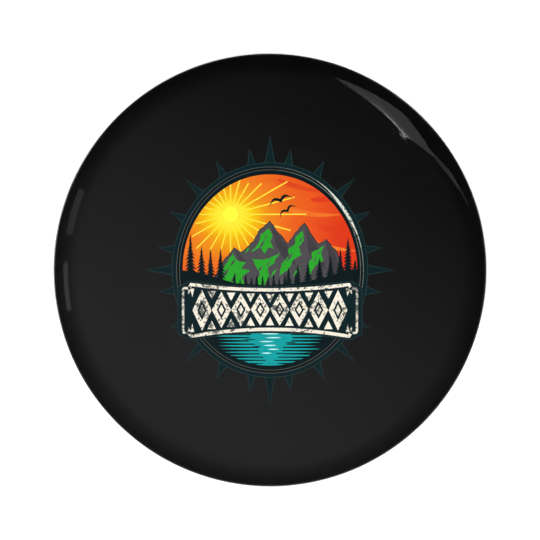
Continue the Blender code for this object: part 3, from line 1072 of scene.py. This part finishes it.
def area_light(name, centre, toward, upright, size, radiance, glossy=True):
    """A soft box at a place, shining one way, given by the brightness of its face."""
    data = bpy.data.lights.new(name, "AREA")
    data.shape = "RECTANGLE"
    data.size, data.size_y = size
    data.energy = radiance * math.pi * size[0] * size[1]
    back = -Vector(toward).normalized()
    across = Vector(upright).cross(back).normalized()
    turn = Matrix((across, back.cross(across), back)).transposed()
    obj = bpy.data.objects.new(name, data)
    obj.matrix_world = Matrix.Translation(centre) @ turn.to_4x4()
    obj.visible_camera = False
    obj.visible_glossy = glossy
    bpy.context.collection.objects.link(obj)


def room_brightness(tree):
    """Brightness by direction: a faint glow behind the camera, most at its lower left, and a pale rear."""
    where = node(tree, "ShaderNodeTexCoord").outputs["Generated"]
    parts = node(tree, "ShaderNodeSeparateXYZ", {"Vector": where})
    slant = vector_maths(tree, "DOT_PRODUCT", where, (-0.36, 0, -0.577))
    lower = remap(tree, slant, -0.2, 0.17, 0.03, 0.1)
    ahead = remap(tree, parts.outputs["Y"], -0.6, -0.93, 0.12, 1.0)
    rear = remap(tree, parts.outputs["Y"], 0.2, 0.65, 0.0, 1.0)
    table = remap(tree, parts.outputs["Z"], 0.35, -0.15, 0.24, 0.66)
    return maths(tree, "MULTIPLY_ADD", rear, table, maths(tree, "MULTIPLY", lower, ahead))


def add_room():
    """A world that the camera sees as plain white, and the object as a dim room."""
    world = bpy.data.worlds.new("studio")
    bpy.context.scene.world = world
    world.use_nodes = True
    tree = world.node_tree
    tree.nodes.clear()
    shades = []
    for strength in (room_brightness(tree), 1.05):
        made = node(tree, "ShaderNodeBackground", {"Color": (1, 1, 1, 1), "Strength": strength})
        shades.append(made.outputs["Background"])
    seen = node(tree, "ShaderNodeLightPath").outputs["Is Camera Ray"]
    mix_shaders(tree, seen, *shades, kind="ShaderNodeOutputWorld")


def add_softbox():
    """The big softbox at the upper right, whose lower left corner the film mirrors, and its thin tail."""
    upright = (SOFTBOX_TOP - SOFTBOX_CORNER).normalized()
    toward = upright.cross(SOFTBOX_SIDE - SOFTBOX_CORNER).normalized()
    across = toward.cross(upright)
    height = (SOFTBOX_TOP - SOFTBOX_CORNER).length
    # Width, height and brightness: the whole box, then hotter patches in front of its corner
    sheets = [(SOFTBOX_WIDTH, height, 0.6), (0.026, 0.12, 3.0), (0.055, 0.22, 0.7), (0.14, 0.33, 0.2)]
    for number, (wide, tall, radiance) in enumerate(sheets):
        centre = SOFTBOX_CORNER + wide / 2 * across + tall / 2 * upright + 0.002 * number * toward
        area_light(f"softbox_{number}", centre, toward, upright, (wide, tall), radiance)
    # Directions of both ends, height and brightness
    wings = [((0.95, -1, 0.66), (2.1, -1, 0.98), 0.06, 0.4)]
    wings += [((1.7, -1, 0.95), (3.6, -1, 1.2), 0.03, 0.38)]
    for number, (start, end, tall, radiance) in enumerate(wings):
        near = WING_DISTANCE * Vector(start).normalized()
        far = WING_DISTANCE * Vector(end).normalized()
        middle = (near + far) / 2
        size = ((far - near).length, tall)
        area_light(f"softbox_wing_{number}", middle, -middle, middle.cross(far - near), size, radiance)


def studio():
    add_room()
    add_softbox()
    up = (0, 0, 1)
    # Place, heading, upright, width and height, brightness
    area_light("window_upper", (-0.6, -0.34, 0.18), (1, 0, 0), up, (0.28, 0.15), 0.35)
    area_light("window_lower", (-0.6, -0.31, -0.05), (1, 0, 0), up, (0.17, 0.14), 0.62)
    area_light("front_fill", (0.05, -0.6, 0.4), (-0.05, 0.6, -0.4), up, (0.5, 0.4), 4.6, glossy=False)
    area_light("rear_key", (0.3, 0.5, 0.4), (-0.3, -0.5, -0.4), up, (0.6, 0.5), 1.5)
    area_light("rear_fill", (-0.45, 0.5, 0.1), (0.45, -0.5, -0.1), up, (0.6, 0.6), 1.0)


def add_floor():
    """A pale floor under the object, bright enough to melt into the white behind it."""
    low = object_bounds()[0][2]
    made = bmesh.new()
    corners = [(-FLOOR_REACH, -FLOOR_REACH), (FLOOR_REACH, -FLOOR_REACH)]
    corners += [(FLOOR_REACH, FLOOR_REACH), (-FLOOR_REACH, FLOOR_REACH)]
    made.faces.new([made.verts.new((x, y, low)) for x, y in corners])
    surface, tree = new_material("floor")
    grain = noise(tree, place(tree), 900, 3, 0.5)
    colour = mixed(tree, grain, (0.84, 0.84, 0.84), (0.88, 0.88, 0.88))
    shader = principled(tree, colour, remap(tree, grain, 0.3, 0.7, 0.6, 0.7))
    shader.inputs["Emission Color"].default_value = (1, 1, 1, 1)
    shader.inputs["Emission Strength"].default_value = 0.97
    floor = add_object("floor", made, [surface])
    floor.visible_glossy = False


def add_camera():
    """Straight in front of the button, far enough off for it to take its share of the picture's width."""
    data = bpy.data.cameras.new("camera")
    data.lens = LENS_MM
    data.sensor_width = SENSOR_MM
    distance = 2 * BUTTON_RADIUS * LENS_MM / (SENSOR_MM * FACE_SHARE)
    camera = bpy.data.objects.new("camera", data)
    camera.location = (0, -BEAD_RADIUS - distance, 0)
    camera.rotation_euler = (QUARTER, 0, 0)
    bpy.context.collection.objects.link(camera)
    bpy.context.scene.camera = camera


def print_inks():
    """Inks by name. The printed sheet's material slots have this order."""
    return {
        "ground": ground_ink(),
        "teal": ink("teal", "011E23"),
        "deep_teal": ink("deep_teal", "01151A"),
        "deep": ink("deep", "0A0B0B"),
        "spike_edge": ink("spike_edge", "223737"),
        "hairline": ink("hairline", "4C5755"),
        "glint_dull": worn_ink("glint_dull", "7C8781", UNDER_WORN),
        "glint": worn_ink("glint", "DDE2D6", "2A3C3C"),
        "sky": sky_ink(),
        "wash_red": wash_ink("red", "DB371A"),
        "wash_orange": wash_ink("orange", "F39030"),
        "ray": ink("ray", "FDDA3E"),
        "sun": ink("sun", "FFF13D"),
        "outline": ink("outline", "14282A"),
        "rock": ink("rock", "4B484C"),
        "rock_shade": ink("rock_shade", "3D3A3F"),
        "meadow": ink("meadow", "279E27"),
        "pine": ink("pine", "01161A"),
        "water": ink("water", "0A999A"),
        "streak": ink("streak", "B9ECEA"),
        "cream_thin": worn_ink("cream_thin", "E4DFD0", UNDER_WORN, 0.78),
        "cream": worn_ink("cream", "F3ECDC", UNDER_WORN, 0.81),
    }


def main():
    inks = print_inks()
    film = add_layer("film_gloss", 0.0, FILM, film_material())
    sheet = add_printed_sheet(inks)
    tin = metal("tinplate_shell", "C9C8C3", "8F8C84", 0.25, 0.45, ROLLING_LINES, 0.004 * MM)
    shell = add_layer("shell_fine", FILM + PAPER + 2 * LAYER_GAP, TINPLATE, tin)
    bright_tin = metal("tinplate_back", "D2D1CC", "9C9A94", 0.2, 0.42, ROLLING_LINES, 0.004 * MM)
    plate = add_back_plate(bright_tin)
    plated = metal("plated_wire", "C8C8C8", "8B8B88", 0.12, 0.3, DRAWING_LINES, 0.003 * MM)
    leg, coil, shaft = add_pin(plated)
    layers = [(film, "clear_film", "clear_film"), (sheet, "printed_sheet", "printed_sheet")]
    layers += [(shell, "front_shell", "front_shell"), (plate, "back_plate", "back_plate")]
    for piece, cad, slot in layers + [(leg, "pin_leg", "pin_wire")]:
        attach(piece, "button")
        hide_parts(cad)
    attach(shaft, "needle")
    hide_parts("pin_needle")
    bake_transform(coil)
    studio()
    add_floor()
    add_camera()
    bpy.context.scene.view_settings.view_transform = "Standard"


main()
